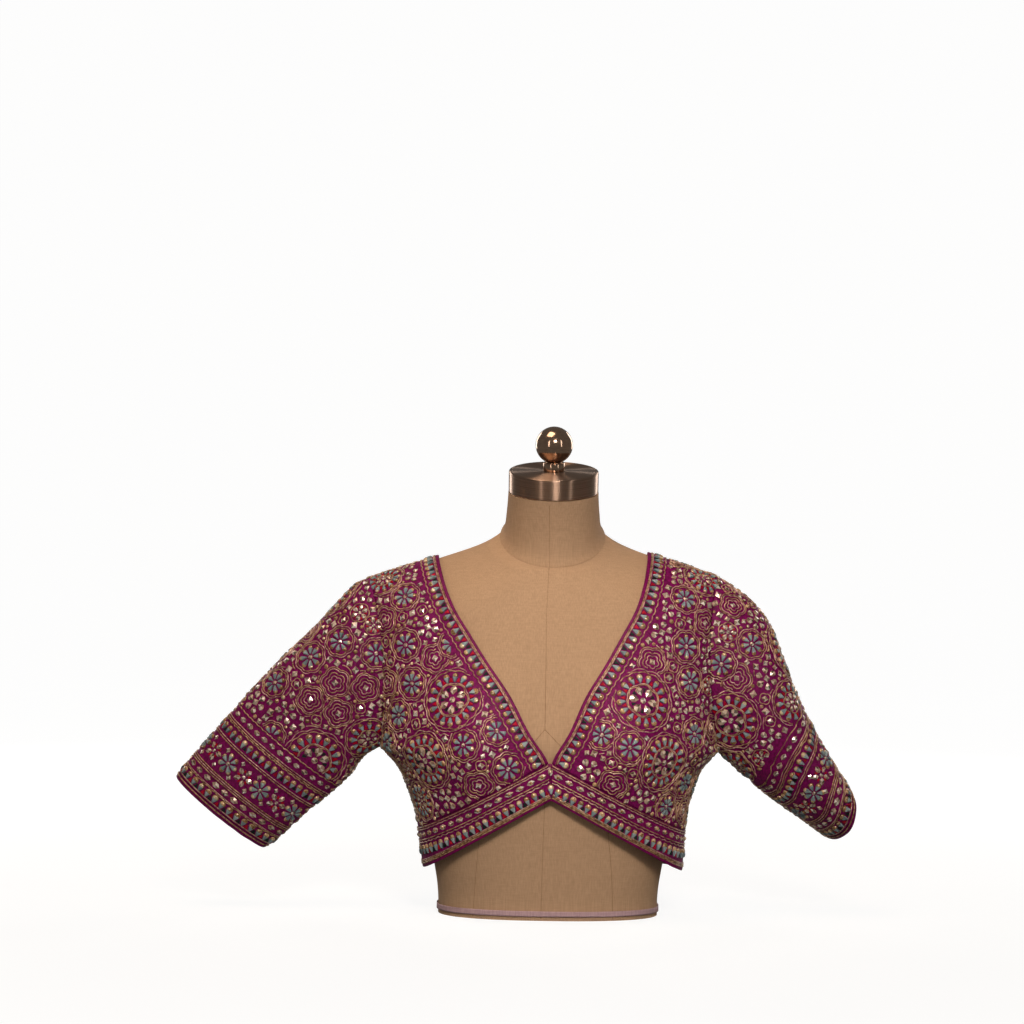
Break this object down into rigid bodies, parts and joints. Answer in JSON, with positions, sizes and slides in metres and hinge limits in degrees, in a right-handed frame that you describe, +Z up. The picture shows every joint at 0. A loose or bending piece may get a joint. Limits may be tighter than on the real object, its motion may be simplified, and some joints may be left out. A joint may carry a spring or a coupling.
{
  "type": "choli blouse on a dress form",
  "caption": "Cropped choli blouse with a deep V neck, elbow sleeves and mirror and gold embroidery, worn on a limbless half dress form with a metal neck cap.",
  "frame": {"origin": "centre of the dress form's flat base, on the surface it stands on", "axes": "+Z up, the wearer's front faces -Y, +X towards the wearer's left sleeve"},
  "size_m": [0.7622, 0.2429, 0.5432],
  "materials": {
    "embroidered_silk": "plum silk with mirror and metal-thread embroidery",
    "binding_silk": "plain satin binding",
    "linen": "plain weave, matt",
    "tape": "woven tape, matt",
    "steel": "brushed cap, polished ball"
  },
  "bodies": {
    "root": {"form_torso": "linen", "form_neck": "linen", "neck_cap": "steel", "finial": "steel", "waist_tape": "tape", "front_right": "embroidered_silk", "front_left": "embroidered_silk", "back_right": "embroidered_silk", "back_left": "embroidered_silk", "band_front_right": "embroidered_silk", "band_front_left": "embroidered_silk", "band_back_right": "embroidered_silk", "band_back_left": "embroidered_silk", "hem_binding_right": "binding_silk", "hem_binding_left": "binding_silk", "neck_binding_right": "binding_silk", "neck_binding_left": "binding_silk", "sleeve_right": "embroidered_silk", "sleeve_left": "embroidered_silk", "cuff_binding_right": "binding_silk", "cuff_binding_left": "binding_silk"}
  },
  "joints": []
}
